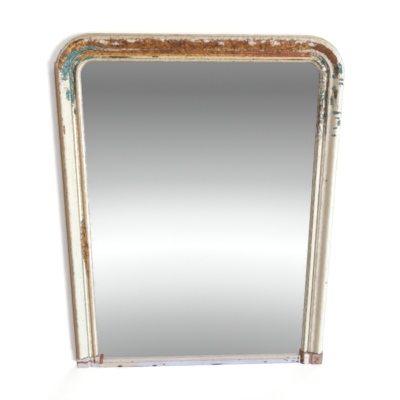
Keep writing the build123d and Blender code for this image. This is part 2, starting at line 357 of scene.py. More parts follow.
ochre_places = [(L, 1150, 29, 75, 12), (L, 1210, 33, 50, 11), (L, 1110, 24, 30, 8), (L, 1240, 57, 60, 5),
                (L, 1170, 66, 34, 5), (R, 1600, 46, 260, 4), (R, 1290, 38, 62, 9), (R, 1000, 56, 60, 4)]
bole_places = [(L, 1420, 35, 220, 17), (L, 1600, 36, 200, 17), (R, 1600, 36, 210, 19), (R, 1390, 35, 170, 18),
               (R, 1230, 34, 62, 11), (R, 1165, 33, 62, 11), (L, 1500, 56, 330, 6), (R, 1450, 56, 240, 6),
               (L, 1130, 19, 48, 3), (L, 1200, 20, 48, 5), (R, 962, 65, 8, 4), (R, 935, 65, 6, 4)]
dark_places = [(L, 1085, 66, 88, 7), (L, 1030, 65, 36, 6), (L, 1150, 48, 115, 3), (L, 1250, 49, 90, 3),
               (L, 1345, 73, 56, 4), (L, 1240, 75, 80, 2), (R, 1095, 33, 36, 10), (R, 1008, 33, 24, 6),
               (R, 1130, 55, 60, 5), (R, 1020, 58, 150, 3), (R, 920, 55, 70, 4), (R, 1190, 54, 30, 3),
               (R, 975, 72, 42, 3), (R, 935, 80, 72, 3), (R, 1180, 74, 62, 2), (R, 1310, 76, 36, 2),
               (L, 1465, 71, 14, 3), (R, 1440, 74, 12, 2)]
bare_places = [(L, 522, 64, 66, 10), (L, 430, 67, 66, 8), (L, 475, 65, 50, 12), (L, 895, 26, 16, 3),
               (L, 928, 22, 5, 3), (L, 393, 21, 6, 3), (L, 1096, 26, 6, 6), (L, 1078, 29, 5, 4),
               (L, 1040, 24, 4, 3), (L, 1010, 22, 4, 3), (L, 1265, 19, 5, 6), (R, 1305, 22, 20, 3),
               (R, 1330, 20, 12, 3), (R, 720, 40, 5, 3), (L, 690, 66, 12, 2), (R, 1016, 54, 44, 4),
               (R, 1110, 58, 10, 3)]
flake_places = [(L, 1305, 29, 26, 7), (L, 1345, 34, 16, 6), (L, 1395, 25, 30, 6), (L, 1250, 24, 10, 5),
                (L, 1585, 23, 20, 6), (R, 1600, 24, 20, 6), (R, 1555, 30, 14, 8), (R, 1455, 28, 16, 8),
                (R, 1420, 25, 12, 6), (R, 1380, 30, 18, 8), (R, 1300, 25, 24, 5), (R, 1260, 31, 22, 6),
                (L, 1400, 50, 60, 3), (L, 1330, 52, 40, 3), (R, 1270, 52, 50, 3), (R, 1500, 50, 120, 2),
                (L, 1065, 50, 90, 2), (L, 1140, 53, 70, 3)]

coat_places = {"bole": bole_places, "ochre": ochre_places, "dirt": dark_places, "turquoise": turquoise_places,
               "bare": bare_places, "flake": flake_places}
print("patches in each coat:", {name: len(places) for name, places in coat_places.items()})

# %% [markdown]
# ## Run mouldings
# A real moulding is a plank pushed past a shaped cutter, so its section is the same all along.
# The CAD model holds that section, but its mesh has only two rings of points on a straight
# length, too few to carry dents or paint marks. So the section is sliced out of the CAD part
# with a bisect, run again in short steps, and the corner rings are spun. Dents then come from a
# Displace modifier that only pushes inwards, which keeps the piece inside its real size.

# %% Slice a section out of a CAD part
weld_distance = 0.00002
section_point_gap = 0.0006
longest_section_edge = 0.004
most_cuts = 8


def make_active(piece):
    select_none()
    piece.select_set(True)
    bpy.context.view_layer.objects.active = piece


def slice_section(node, name, place, normal):
    """A new object that holds only the loop where a plane cuts a CAD part."""
    piece = bpy.data.objects.new(name, bpy.data.objects[node].data.copy())
    bpy.context.scene.collection.objects.link(piece)
    make_active(piece)
    bpy.ops.object.mode_set(mode="EDIT")
    bpy.ops.mesh.select_mode(type="VERT")
    bpy.ops.mesh.select_all(action="SELECT")
    bpy.ops.mesh.remove_doubles(threshold=weld_distance)
    bpy.ops.mesh.bisect(plane_co=place, plane_no=normal, clear_inner=True, clear_outer=True)
    bpy.ops.mesh.select_all(action="SELECT")
    bpy.ops.mesh.remove_doubles(threshold=section_point_gap)
    bpy.ops.object.mode_set(mode="OBJECT")
    split_long_edges(piece, longest_section_edge)
    return piece


def split_long_edges(piece, longest):
    """Subdivides every edge of a loop that is longer than wanted."""
    for count in range(most_cuts, 0, -1):
        mesh = piece.data
        bpy.ops.object.mode_set(mode="EDIT")
        bpy.ops.mesh.select_all(action="DESELECT")
        bpy.ops.mesh.select_mode(type="EDGE")
        bpy.ops.object.mode_set(mode="OBJECT")
        for edge in mesh.edges:
            start, end = [mesh.vertices[index].co for index in edge.vertices]
            edge.select = (end - start).length > longest * count
        bpy.ops.object.mode_set(mode="EDIT")
        bpy.ops.mesh.subdivide(number_cuts=count)
        bpy.ops.object.mode_set(mode="OBJECT")


def close_and_turn_out(piece):
    """Fills the open ends and points every face outwards."""
    make_active(piece)
    bpy.ops.object.mode_set(mode="EDIT")
    bpy.ops.mesh.select_mode(type="VERT")
    bpy.ops.mesh.select_all(action="SELECT")
    bpy.ops.mesh.remove_doubles(threshold=weld_distance)
    bpy.ops.mesh.select_all(action="SELECT")
    bpy.ops.mesh.fill_holes(sides=0)
    bpy.ops.mesh.select_all(action="SELECT")
    bpy.ops.mesh.normals_make_consistent(inside=False)
    bpy.ops.object.mode_set(mode="OBJECT")


section_test = slice_section("moulding_top", "section_test", (0, 0, 0), (1, 0, 0))
print("points round the section:", len(section_test.data.vertices))
bpy.data.objects.remove(section_test)

# %% Run a straight length and spin a corner
run_step = 0.005
spin_steps = 40


def run_length(node, axis, start, end):
    """The section of a CAD part, run from start to end along one axis."""
    middle = [0.0, 0.0, 0.0]
    middle[axis] = (start + end) / 2
    normal = [float(index == axis) for index in range(3)]
    piece = slice_section(node, node + "_run", middle, normal)
    shift = [0.0, 0.0, 0.0]
    shift[axis] = start - middle[axis]
    steps = ceil((end - start) / run_step)
    advance = [(end - start) / steps * part for part in normal]
    bpy.ops.object.mode_set(mode="EDIT")
    bpy.ops.mesh.select_all(action="SELECT")
    bpy.ops.transform.translate(value=shift)
    bpy.ops.mesh.extrude_repeat(steps=steps, offset=advance, scale_offset=1.0)
    bpy.ops.object.mode_set(mode="OBJECT")
    return piece


def spin_corner(node, side, turn):
    """The section at the top end of a corner, spun down round the corner's centre."""
    centre = (side * spring_x / 1000, 0.0, spring_z / 1000)
    piece = slice_section(node, node + "_spun", (centre[0] + side * weld_distance, 0, 0), (1, 0, 0))
    bpy.ops.object.mode_set(mode="EDIT")
    bpy.ops.mesh.select_all(action="SELECT")
    bpy.ops.mesh.spin(steps=spin_steps, angle=-side * radians(turn), center=centre, axis=(0, 1, 0))
    bpy.ops.object.mode_set(mode="OBJECT")
    return piece


left_joint = 18.4  # degrees above level, as seen from the centre of the corner
block_top = 0.044
left_rise = corner_radius * tan(radians(left_joint)) / 1000
mouldings = {
    "moulding_left": run_length("moulding_left", 2, block_top, spring_z / 1000 + left_rise),
    "moulding_right": run_length("moulding_right", 2, block_top, spring_z / 1000),
    "moulding_top": run_length("moulding_top", 0, -spring_x / 1000, spring_x / 1000),
    "moulding_corner_left": spin_corner("moulding_corner_left", -1, 90 - left_joint),
    "moulding_corner_right": spin_corner("moulding_corner_right", 1, 90)}

make_active(mouldings["moulding_left"])
bpy.ops.object.mode_set(mode="EDIT")
bpy.ops.mesh.select_all(action="SELECT")
bpy.ops.mesh.bisect(plane_co=(-spring_x / 1000, 0, spring_z / 1000),
                    plane_no=(tan(radians(left_joint)), 0, 1), clear_outer=True)
bpy.ops.object.mode_set(mode="OBJECT")
for name, piece in mouldings.items():
    close_and_turn_out(piece)
    print(name, len(piece.data.polygons), "faces")

# %% [markdown]
# ## Dents and marks
# Each piece is dented, and every point is told where on the frame it lies and how deep it is
# inside the patches of each coat. A material can read those numbers as attributes, which is
# far lighter than working the ovals out again at every sample. The new piece then takes the
# place of the CAD part and rides the same body.

# %% Dent and mark the mouldings
dent_depth = 0.0006
crease_angle = 28

dents = bpy.data.textures.new("dents", type="CLOUDS")
dents.noise_scale = 0.012
dents.noise_depth = 3


def dent(piece, depth):
    """Pushes the surface inwards here and there, by no more than depth."""
    make_active(piece)
    press = piece.modifiers.new("dents", "DISPLACE")
    press.texture = dents
    press.texture_coords = "LOCAL"
    press.mid_level = 1.0
    press.strength = depth
    bpy.ops.object.modifier_apply(modifier=press.name)


def place_on_run(point):
    """Side, along and across, in millimetres, of a point of the frame."""
    side = -1 if point.x < 0 else 1
    past_x, past_z = abs(point.x) * 1000 - spring_x, point.z * 1000 - spring_z
    across = corner_radius - hypot(max(past_x, 0), max(past_z, 0)) - min(max(past_x, past_z), 0)
    turn = atan2(max(past_z, 0), max(past_x, 0)) if max(past_x, past_z) > 0 else 0.0
    along = min(point.z * 1000, spring_z) + turn * corner_radius
    along = along + spring_x - min(abs(point.x) * 1000, spring_x)
    return side, along, across


def depth_in(places, side, along, across):
    """1 at the middle of the nearest oval, 0 at its rim and below 0 outside, down to -1."""
    deepest = -1.0
    for oval_side, middle, height, half_along, half_across in places:
        if oval_side == side:
            reach = hypot((along - middle) / half_along, (across - height) / half_across)
            deepest = max(deepest, 1 - reach)
    return deepest


def mark_coats(piece):
    """Stores on every point how far along and across it is, and how deep inside each coat's patches."""
    places = [place_on_run(point.co) for point in piece.data.vertices]
    columns = {"along": [place[1] for place in places], "across": [place[2] for place in places]}
    for coat, patches in coat_places.items():
        columns[coat] = [depth_in(patches, *place) for place in places]
    for name, column in columns.items():
        layer = piece.data.attributes.new(name, "FLOAT", "POINT")
        layer.data.foreach_set("value", column)


for name, piece in mouldings.items():
    dent(piece, dent_depth)
    mark_coats(piece)
    make_active(piece)
    bpy.ops.object.shade_smooth_by_angle(angle=radians(crease_angle))
    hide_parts(name)
    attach(piece, "frame")
print("dented and marked:", ", ".join(mouldings))

# %% [markdown]
# ## Worn cream paint
# Each coat is a colour laid over the one below through a mask whose edge is torn by noise.
# All the coats share the same few noises, so one chip cuts through several of them together,
# as it does in real paint. They are gathered in one place, with the masks for left and right.

# %% The noises that tear the paint
class PaintedSpot(Spot):
    """A place on a moulding, with its masks and the noises that tear the edges of its coats."""

    def __init__(self, finish):
        super().__init__(finish)
        self.across, self.along = [finish.node("ShaderNodeAttribute", {"attribute_name": name}, {}, "Fac")
                                   for name in ("across", "along")]
        self.half = {L: self.left, R: 1 - self.left}
        self.top = finish.step(self.along, 1120.0, 1210.0)
        self.stile = 1 - self.top
        self.ragged = finish.mottle(self.place, 60.0, 8.0, 0.7)
        self.crumb = finish.mottle(self.place, 210.0, 6.0, 0.7)
        self.grain = finish.mottle(self.place, 560.0, 3.0, 0.7)
        self.blotch = finish.mottle(self.place, 120.0, 3.0, 0.6)
        self.fleck = finish.mottle(self.place, 95.0, 4.0, 0.7)
        self.torn = (self.ragged - 0.5) * 0.9 + (self.crumb - 0.5) * 1.3
        self.wander = self.across + self.torn * 3.0

    def lay_bands(self, colour, bands, where=1.0):
        """Lays stripes that run along the moulding."""
        for side, start, end, soft, strength, tone in bands:
            mask = self.finish.band(self.wander, start, end, soft) * self.half[side] * where * strength
            colour = self.finish.lay(mask, colour, tint(*tone))
        return colour

    def lay_patch(self, colour, coat, tone, rag, low, high):
        """Lays a coat over its ovals; rag says how torn its rim is."""
        depth = self.finish.node("ShaderNodeAttribute", {"attribute_name": coat}, {}, "Fac")
        return self.finish.lay(self.finish.step(depth + self.torn * rag, low, high), colour, tone)


print("coats that a moulding can show:", len(coat_places))

# %% [markdown]
# ## Cream, lit and shaded
# The cream is painted brighter on the faces turned to the window light, a painted highlight, with the
# left ogee toned down a little, and darker on the faces turned from it, painted shade mixed with dirt.
# Along the top it is yellower and darker, partly an older coat and partly painted shade. The
# stripes below are side, start and end across in millimetres, softness, strength and colour.

# %% Lay the cream
# Brighter stripes on the faces turned to the window light are painted highlight; the left ogee, which faces
# that light, is painted a little darker
painted_light_bands = [(R, 43.0, 49.0, 1.5, 1.0, (252, 249, 240)), (R, 60.5, 70.5, 1.0, 1.0, (236, 230, 217)),
               (R, -9.0, 23.0, 2.0, 1.0, (236, 239, 234)), (L, 24.0, 46.0, 2.0, 1.0, (224, 223, 210)),
               (L, 54.0, 61.0, 1.5, 1.0, (248, 244, 226))]
# Darker stripes on the faces turned from the window light: painted shade mixed with dirt; the right stripe
# from 51 to 57 is dirt in the hollow
shade_and_dirt_bands = [(R, 27.0, 41.0, 4.0, 0.75, (198, 170, 134)), (R, 51.0, 57.0, 1.2, 0.9, (166, 136, 102)),
               (L, 48.0, 52.5, 1.5, 0.6, (186, 170, 142)), (L, 63.5, 74.5, 1.2, 0.9, (186, 150, 104)),
               (L, 66.0, 70.5, 1.5, 0.6, (150, 112, 66)), (R, 77.5, 82.5, 1.0, 0.85, (160, 130, 82))]


def cream_coat(finish, spot):
    cloud = finish.noise(spot.place, 9.0, 3.0, 0.5)
    flow = finish.vector(spot.along * 0.001, spot.across * 0.012, spot.side * 3.0)
    streaks = finish.step(finish.noise(flow, 14.0, 6.0, 0.65), 0.48, 0.7)
    cream = finish.lay(finish.step(cloud, 0.35, 0.65), tint(232, 231, 220), tint(223, 219, 204))
    # Lay the stripes of painted highlight on the faces turned to the window light
    cream = spot.lay_bands(cream, painted_light_bands)
    cream = finish.lay(streaks * 0.4, cream, tint(214, 200, 176))
    # Along the top the cream is yellower and darker, and darker towards the left: partly an older coat,
    # partly painted shade on the top rail
    toned = finish.lay(finish.step(spot.x, -300.0, 320.0), tint(203, 187, 157), tint(222, 210, 187))
    toned = finish.lay(finish.step(spot.blotch, 0.5, 0.8) * 0.6, toned, tint(172, 150, 118))
    sight = finish.lay(spot.crumb, tint(228, 208, 166), tint(196, 178, 144))
    toned = finish.lay(finish.step(spot.wander, 70.0, 72.0), toned, sight)
    return finish.lay(spot.top * 0.9, cream, toned)


def yellowed_coat_and_shade(finish, spot, colour):
    """Old coats on the faces that were never repainted, then stripes of painted shade mixed with dirt."""
    below_corner = finish.fall(spot.along + spot.torn * 20.0, 1060.0, 1180.0)
    dull = finish.band(spot.wander, 2.0, 22.0, 3.0) * spot.left * below_corner
    colour = finish.lay(dull * 0.95, colour, finish.lay(spot.crumb, tint(132, 96, 60), tint(186, 150, 110)))
    cold = finish.fall(spot.along, 250.0, 800.0) * spot.left * finish.band(spot.wander, 24.0, 60.0, 2.0)
    colour = finish.lay(cold * 0.6, colour, tint(224, 231, 226))
    # Lay the stripes of painted shade mixed with dirt
    return spot.lay_bands(colour, shade_and_dirt_bands, spot.stile)


print("stripes of cream:", len(painted_light_bands) + len(shade_and_dirt_bands))

# %% [markdown]
# ## Bole and gilding
# Under the cream along the top lies bole, the brown clay that gold leaf is laid on. Ochre
# fills the left corner, and a line of real gilding is left in the valley of the moulding.

# %% Lay the bole, the ochre and the gold
gold_starts = {L: 1158.0, R: 1238.0}


def gilded_coats(finish, spot, colour):
    right = spot.half[R]
    rust = finish.lay(finish.step(spot.ragged, 0.25, 0.75), tint(118, 64, 24), tint(172, 106, 46))
    rust = finish.lay(finish.step(spot.x, -60.0, 380.0) * 0.4, rust, tint(184, 106, 58))
    rust = finish.lay(finish.step(spot.fleck, 0.8, 0.95) * 0.8, rust, tint(214, 158, 100))
    rust = finish.lay(finish.fall(spot.blotch, 0.1, 0.42) * 0.85, rust, tint(66, 38, 18))
    # A grey-brown line in the crease at the foot of the bead: partly dirt, partly painted shade
    bead_crease_line = finish.band(spot.across, 47.5, 51.0, 0.8) * finish.step(spot.crumb, 0.35, 0.6)
    rust = finish.lay(bead_crease_line * 0.7, rust, tint(92, 70, 56))
    right_corner = right * finish.fall(spot.along, 1235.0, 1262.0)
    rust = finish.lay(right_corner * spot.blotch * 0.9, rust, tint(96, 48, 26))
    colour = spot.lay_patch(colour, "bole", rust, 0.42, 0.02, 0.08)

    ochre = finish.lay(finish.step(spot.blotch, 0.35, 0.75), tint(132, 86, 40), tint(210, 156, 86))
    ochre = finish.lay(finish.fall(spot.fleck, 0.1, 0.4) * 0.8, ochre, tint(92, 56, 26))
    colour = spot.lay_patch(colour, "ochre", ochre, 0.5, 0.1, 0.18)

    redder = finish.step(spot.x + spot.torn * 90.0, 60.0, 240.0)
    gold = finish.lay(redder, tint(214, 152, 64), tint(192, 98, 52))
    gold = finish.lay(finish.step(spot.blotch, 0.5, 0.75) * 0.75, gold, tint(142, 90, 38))
    gold = finish.lay(finish.step(spot.fleck, 0.78, 0.9), gold, tint(240, 196, 120))
    start = spot.left * gold_starts[L] + right * gold_starts[R]
    reach = finish.step(spot.along + spot.torn * 30.0, start, start + 20.0)
    gilt = finish.band(spot.wander, 60.0, 69.5, 1.2) * reach
    return finish.lay(gilt * finish.step(spot.ragged, 0.16, 0.24), colour, gold)


print("gilding starts along the frame at", gold_starts, "mm")

# %% [markdown]
# ## Dirt, turquoise and bare wood
# A flake of paint is drawn with a dark rim along its broken edge, a painted shadow. So turquoise,
# bare wood and loose flakes are each laid twice: a dark patch first, and the colour a little
# further in.

# %% Lay the dirt and break the paint
def broken_coats(finish, spot, colour):
    right = spot.half[R]
    murk = finish.lay(finish.step(spot.blotch, 0.3, 0.7), tint(46, 46, 36), tint(128, 104, 70))
    colour = spot.lay_patch(colour, "dirt", murk, 0.6, 0.12, 0.2)
    upper_right = right * finish.step(spot.along, 820.0, 900.0) * finish.fall(spot.along, 1200.0, 1260.0)
    hollows = finish.band(spot.wander, 70.0, 90.0, 1.5) + finish.band(spot.wander, 58.0, 70.0, 1.5) * 0.6
    soot = finish.step(spot.fleck, 0.4, 0.62) * hollows
    colour = finish.lay(soot * upper_right * 0.85, colour, murk)
    pepper = finish.step(spot.blotch, 0.72, 0.86) * finish.band(spot.wander, 24.0, 42.0, 3.0)
    pepper = pepper * finish.step(spot.along, 900.0, 960.0)
    colour = finish.lay(pepper * upper_right * 0.8, colour, tint(112, 96, 66))

    # Dark rim round the turquoise: painted shadow at the broken edge
    colour = spot.lay_patch(colour, "turquoise", tint(66, 74, 66), 0.85, 0.06, 0.1)
    green = finish.lay(finish.step(spot.blotch, 0.3, 0.75), tint(54, 112, 116), tint(110, 160, 156))
    green = finish.lay(finish.step(spot.fleck, 0.8, 0.9) * 0.8, green, tint(196, 196, 176))
    green = finish.lay(finish.fall(spot.fleck, 0.1, 0.25) * 0.8, green, tint(96, 78, 52))
    green = finish.lay(right * 0.4, green, tint(70, 92, 98))
    colour = spot.lay_patch(colour, "turquoise", green, 0.85, 0.16, 0.22)

    wood = finish.lay(finish.step(spot.blotch, 0.2, 0.6), tint(118, 74, 36), tint(200, 148, 94))
    # Dark rim round the bare wood: painted shadow at the broken edge
    colour = spot.lay_patch(colour, "bare", tint(70, 40, 22), 0.5, 0.06, 0.12)
    colour = spot.lay_patch(colour, "bare", wood, 0.5, 0.2, 0.3)

    flake = finish.lay(spot.crumb, tint(238, 228, 212), tint(204, 186, 158))
    # Dark rim round the loose flakes: painted shadow at the broken edge
    colour = spot.lay_patch(colour, "flake", tint(84, 56, 36), 1.1, 0.26, 0.3)
    colour = spot.lay_patch(colour, "flake", flake, 1.1, 0.36, 0.42)
    loose = finish.step(spot.fleck, 0.72, 0.8) * finish.band(spot.wander, 19.0, 29.0, 2.5) * spot.top
    colour = finish.lay(loose * finish.step(spot.along, 1250.0, 1300.0), colour, flake)
    scuff = finish.fall(spot.fleck, 0.06, 0.14) * finish.band(spot.wander, 15.0, 24.0, 2.0) * spot.top
    return finish.lay(scuff, colour, tint(120, 78, 48))


print("coats laid with a dark rim:", ", ".join(("turquoise", "bare", "flake")))

# %% [markdown]
# ## Specks, and the finished paint
# Small chips are thicker near the top, where the paint has most coats. Dark lines run in the creases
# of the section, partly dirt and partly painted shade, and the cut end above each base block is
# brown, partly wear and partly painted shadow at the joint with the block.

# %% Finish the paint and put it on the mouldings
# Dark lines in the creases of the section: partly dirt, partly painted shade
crease_dirt_and_shade_lines = [(6.6, 8.4, 0.6, 0.5), (50.2, 51.8, 0.6, 0.5), (60.2, 61.6, 0.4, 0.6), (75.6, 77.2, 0.5, 0.7),
               (82.6, 84.5, 0.4, 0.6)]  # start and end across, softness, strength


def worn_and_shaded_paint():
    finish = Finish("worn_and_shaded_cream_paint")
    spot = PaintedSpot(finish)
    colour = yellowed_coat_and_shade(finish, spot, cream_coat(finish, spot))
    colour = broken_coats(finish, spot, gilded_coats(finish, spot, colour))

    upper = finish.step(spot.along, 880.0, 1100.0)
    chips = finish.step(finish.noise(spot.place, 190.0, 3.0, 0.6) + upper * 0.035, 0.675, 0.705)
    colour = finish.lay(chips * 0.9, colour, tint(92, 64, 42))
    # Sum the crease lines: partly dirt, partly painted shade
    lines = 0.0
    for start, end, soft, strength in crease_dirt_and_shade_lines:
        lines = finish.band(spot.across, start, end, soft) * strength + lines
    colour = finish.lay(lines * finish.step(spot.crumb, 0.3, 0.5), colour, tint(104, 80, 54))
    # The cut end above each base block is brown: partly wear, partly painted shadow at the joint with the
    # block
    foot_end = finish.fall(spot.along + spot.torn * 8.0, 47.0, 50.0)
    colour = finish.lay(foot_end * 0.9, colour, finish.lay(spot.crumb, tint(74, 44, 28), tint(150, 106, 72)))

    crumble = (spot.crumb - 0.5) * 0.0004 * (0.2 + upper)
    relief = (spot.grain - 0.5) * 0.0001 - chips * 0.0004 + crumble
    return finish.surface(colour, 0.42 + (spot.crumb - 0.5) * 0.2, [(relief, 1.0)])


def dress(material, names):
    """Gives a CAD node its finish in every slot."""
    for name in names:
        for slot in bpy.data.objects[name].material_slots:
            slot.material = material


cream_paint = worn_and_shaded_paint()
for piece in mouldings.values():
    piece.data.materials.clear()
    piece.data.materials.append(cream_paint)
print("painted pieces:", len(mouldings))

# %% [markdown]
# ## Foot rail and base blocks
# The foot was knocked by brooms and shoes for a century. Its front is lilac below a paler upper
# slope: the lilac is partly a cold cast of the paint and partly painted shade on the front, the paler
# slope is a painted highlight, and a darker line painted between them draws their edge as painted
# shade. The edges are rubbed to brown wood, and small chips show black. These pieces keep their CAD
# shape, so their marks are ovals placed straight in the material, each with an edge torn by noise.

# %% Marks and noises for the foot
class FootSpot(Spot):
    """A place on the foot rail or a block, with the noises that tear the edges of its marks."""

    def __init__(self, finish, cloud_scale):
        super().__init__(finish)
        self.cloud = finish.mottle(self.place, cloud_scale, 4.0, 0.6)
        self.crumb = finish.mottle(self.place, 190.0, 6.0, 0.7)
        self.grain = finish.mottle(self.place, 560.0, 3.0, 0.7)
        self.torn = (self.cloud - 0.5) * 0.6 + (self.crumb - 0.5) * 0.9

    def inside(self, marks):
        """How deep inside the nearest oval a place is; an oval is its middle and half sizes."""
        deepest = -1.0
        for x, z, half_x, half_z in marks:
            reach = self.finish.node("ShaderNodeMapping", {"vector_type": "TEXTURE"},
                                     {"Vector": self.place, "Location": (x / 1000, 0, z / 1000),
                                      "Scale": (half_x / 1000, 1000.0, half_z / 1000)})
            away = self.finish.node("ShaderNodeVectorMath", {"operation": "LENGTH"}, {0: reach}, "Value")
            deepest = self.finish.math("MAXIMUM", 1 - away, deepest)
        return deepest

    def rub(self, colour, height, tone):
        """Wears the bottom edge."""
        low = self.finish.fall(self.z + self.torn * 2.5, 0.6, height)
        return self.finish.lay(low * self.finish.step(self.crumb, 0.3, 0.6) * 0.8, colour, tone)

    def speckle(self, colour, level, tone):
        specks = self.finish.step(self.finish.noise(self.place, 170.0, 3.0, 0.6), level, level + 0.02)
        return self.finish.lay(specks * 0.8, colour, tone)


rail_chips = [(-309, 4, 13, 6), (-178, 3, 11, 5), (338, 24, 6, 3), (334, 12, 6, 5), (250, 9, 8, 3),
              (378, 22, 5, 10), (376, 7, 7, 6), (150, 20, 7, 2), (60, 3, 30, 3)]
rail_rust = [(-261, 22, 6, 4), (-142, 8, 8, 4), (-73, 20, 6, 3), (-250, 1, 70, 3), (358, 9, 18, 5),
             (330, 17, 16, 3), (362, 20, 9, 4)]
print("marks on the foot rail:", len(rail_chips) + len(rail_rust))

# %% Paint the foot rail
def foot_paint():
    finish = Finish("foot_rail_paint")
    spot = FootSpot(finish, 14.0)
    colour = finish.lay(spot.cloud, tint(214, 206, 198), tint(200, 190, 182))
    # The upper slope, further back, is painted paler: a painted highlight on the face turned up
    colour = finish.lay(finish.fall(spot.depth, 30.5, 32.6), colour, tint(242, 236, 228))
    # The front below about 20 mm turns lilac: partly a cast of the paint, partly painted shade on the front
    # face
    lilac = finish.lay(spot.cloud, tint(208, 215, 238), tint(200, 203, 222))
    front = finish.step(spot.depth, 31.8, 33.0) * finish.step(spot.x + spot.torn * 40.0, -260.0, -220.0)
    low = finish.fall(spot.z + spot.torn * 2.0, 19.0, 21.0)
    colour = finish.lay(front * low * 0.9, colour, lilac)
    # A darker line at about 20 mm up draws the edge between slope and front: painted shade
    arris_shade = finish.band(spot.z + spot.torn * 2.5, 19.5, 22.5, 0.8) * finish.step(spot.crumb, 0.2, 0.5)
    colour = finish.lay(arris_shade * 0.7, colour, tint(164, 150, 142))
    colour = spot.rub(colour, 2.4, tint(150, 116, 98))
    rust = finish.step(spot.inside(rail_rust) + spot.torn * 0.8, 0.25, 0.4)
    colour = finish.lay(rust, colour, finish.lay(spot.crumb, tint(128, 70, 48), tint(188, 140, 110)))
    chips = finish.step(spot.inside(rail_chips) + spot.torn * 0.7, 0.25, 0.35)
    colour = finish.lay(chips, colour, finish.lay(spot.crumb, tint(40, 36, 30), tint(110, 90, 72)))
    colour = spot.speckle(colour, 0.68, tint(120, 90, 74))
    relief = (spot.grain - 0.5) * 0.0001 + (spot.crumb - 0.5) * 0.0003 - chips * 0.0005
    return finish.surface(colour, 0.5, [(relief, 1.0)])


foot_rail_paint = foot_paint()
dress(foot_rail_paint, ["foot_rail"])
print("nodes in the foot rail's paint:", len(foot_rail_paint.node_tree.nodes))

# %% Paint the base blocks
right_block_bands = [(49.0, 56.0, 1.5, (186, 158, 120)), (56.5, 58.5, 0.8, (96, 62, 40)),
                     (60.0, 73.0, 1.5, (244, 242, 238))]  # start and end across, softness, colour


def block_paint():
    finish = Finish("base_block_paint")
    spot = FootSpot(finish, 30.0)
    across = half_width - finish.math("ABSOLUTE", spot.x)
    wander = across + spot.torn * 4.0
    left, right = spot.left, 1 - spot.left
    blotch = finish.mottle(spot.place, 100.0, 3.0, 0.6)
    colour = finish.lay(spot.cloud, tint(222, 218, 222), tint(202, 196, 200))
    brown = finish.lay(finish.step(blotch, 0.3, 0.7), tint(84, 46, 26), tint(168, 112, 78))

    worn_red = finish.lay(finish.step(blotch, 0.2, 0.8), tint(138, 84, 62), tint(186, 158, 148))
    worn_red = finish.lay(finish.fall(wander, 8.0, 16.0), worn_red, tint(170, 160, 158))
    colour = finish.lay(right * finish.fall(wander, 44.0, 48.0) * 0.95, colour, worn_red)
    for start, end, soft, tone in right_block_bands:
        colour = finish.lay(right * finish.band(wander, start, end, soft), colour, tint(*tone))
    # The inner flank of the right block is brown: partly worn wood, partly painted shade on the face turned
    # from the window light
    colour = finish.lay(right * finish.step(wander, 75.0, 78.0), colour, brown)

    top_wear = finish.band(spot.z + spot.torn * 8.0, 21.0, 29.0, 1.0) * finish.fall(across, 62.0, 68.0)
    colour = finish.lay(left * top_wear * finish.step(blotch, 0.2, 0.35), colour, brown)
    tan_patch = finish.band(spot.z + spot.torn * 8.0, 17.0, 27.0, 1.0) * finish.band(wander, 73.0, 91.0, 2.0)
    tan_wood = finish.lay(finish.step(blotch, 0.5, 0.7), tint(206, 168, 130), tint(110, 70, 44))
    colour = finish.lay(left * tan_patch, colour, tan_wood)
    end_wear = finish.band(wander, 91.0, 110.0, 2.0) + finish.band(wander, 66.0, 73.0, 2.0)
    colour = finish.lay(left * finish.step(spot.z + spot.torn * 6.0, 15.0, 18.0) * end_wear, colour, brown)

    colour = spot.rub(colour, 2.6, tint(126, 92, 76))
    colour = spot.speckle(colour, 0.67, tint(110, 80, 60))
    relief = (spot.grain - 0.5) * 0.0001 + (spot.crumb - 0.5) * 0.0004
    return finish.surface(colour, 0.5, [(relief, 1.0)])


base_block_paint = block_paint()
dress(base_block_paint, ["base_block_left", "base_block_right"])
print("nodes in the blocks' paint:", len(base_block_paint.node_tree.nodes))

# %% [markdown]
# ## The looking glass
# Silvered glass is a mirror for the camera: fully metallic and nearly smooth. Old plate is not
# quite flat, and the silver has a few grey blooms near its edges, so both are there faintly.

# %% Silver the glass
sight_edge_x, sight_edge_z = (376.0, 396.0), (26.0, 44.0)


def silvered_glass():
    finish = Finish("silvered_glass")
    spot = Spot(finish)
    cloud = finish.mottle(spot.place, 3.0, 3.0, 0.5)
    bloom = finish.mottle(spot.place, 60.0, 5.0, 0.7)
    edge_x = finish.step(finish.math("ABSOLUTE", spot.x), *sight_edge_x)
    edge = finish.math("MAXIMUM", edge_x, finish.fall(spot.z, *sight_edge_z))
    colour = finish.lay(cloud, (0.878, 0.885, 0.885, 1), (0.895, 0.9, 0.9, 1))
    colour = finish.lay(edge * finish.step(bloom, 0.62, 0.9) * 0.35, colour, (0.5, 0.5, 0.48, 1))
    rough = 0.015 + edge * finish.step(bloom, 0.6, 0.9) * 0.08
    return finish.surface(colour, rough, [(cloud * 0.00002, 1.0)], Metallic=1.0)


dress(silvered_glass(), ["mirror_glass"])

# %% [markdown]
# ## Pine, bare and old
# Nobody painted the back. The carcass is planed pine gone brown, with cream paint that ran over
# its outer edges, and the boards are sawn and dusty, painted darker along the gaps between them as
# painted shade. Grain is noise stretched along the board, and a knot is a cell of a Voronoi pattern
# stretched the same way. Each board comes from its own part of the tree, so its noise is shifted.

# %% Saw the pine
along_grain = 0.07
tree_shift = 1.7
knots_per_metre = 9
gap_shade_width = 9.0


